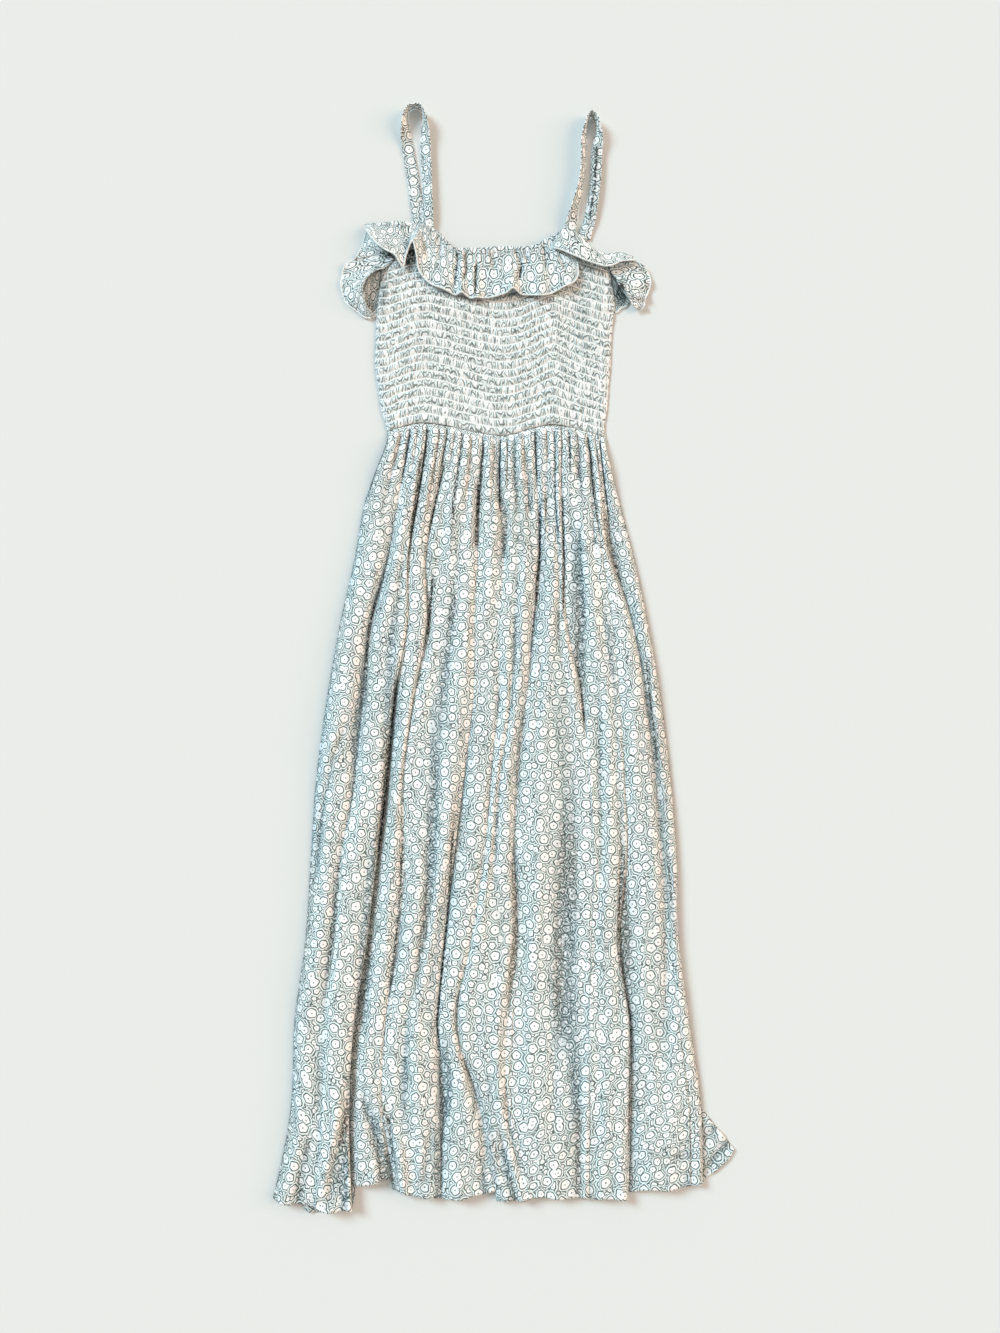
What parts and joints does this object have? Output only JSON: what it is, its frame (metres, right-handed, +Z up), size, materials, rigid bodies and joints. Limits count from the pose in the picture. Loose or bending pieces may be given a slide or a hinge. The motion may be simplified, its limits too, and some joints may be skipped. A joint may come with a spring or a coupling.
{
  "type": "maxi dress",
  "caption": "Sleeveless maxi dress laid flat on its back: shirred bodice, ruffled neckline, looped shoulder straps and a long skirt gathered into soft folds.",
  "frame": {"origin": "middle of the bounding box on the surface that the dress lies on", "axes": "+X towards the right of the dress as it is seen from above, +Y from the hem towards the straps, +Z up off the surface"},
  "size_m": [0.506, 1.2554, 0.0184],
  "materials": {
    "skirt_front": "soft printed viscose, matt",
    "skirt_back": "soft printed viscose, matt",
    "bodice_front": "shirred printed viscose, matt",
    "bodice_back": "shirred printed viscose, matt",
    "ruffle_front": "soft printed viscose, matt",
    "ruffle_right_top": "soft printed viscose, matt",
    "ruffle_left_side": "soft printed viscose, matt",
    "ruffle_right_side": "soft printed viscose, matt",
    "ruffle_back": "soft printed viscose, matt",
    "strap_left": "printed viscose folded into a band, matt",
    "strap_right": "printed viscose folded into a band, matt"
  },
  "bodies": {
    "root": {"skirt_front": "skirt_front", "skirt_back": "skirt_back", "bodice_front": "bodice_front", "bodice_back": "bodice_back", "ruffle_front": "ruffle_front", "ruffle_right_top": "ruffle_right_top", "ruffle_left_side": "ruffle_left_side", "ruffle_right_side": "ruffle_right_side", "ruffle_back": "ruffle_back", "strap_left": "strap_left", "strap_right": "strap_right"}
  },
  "joints": []
}
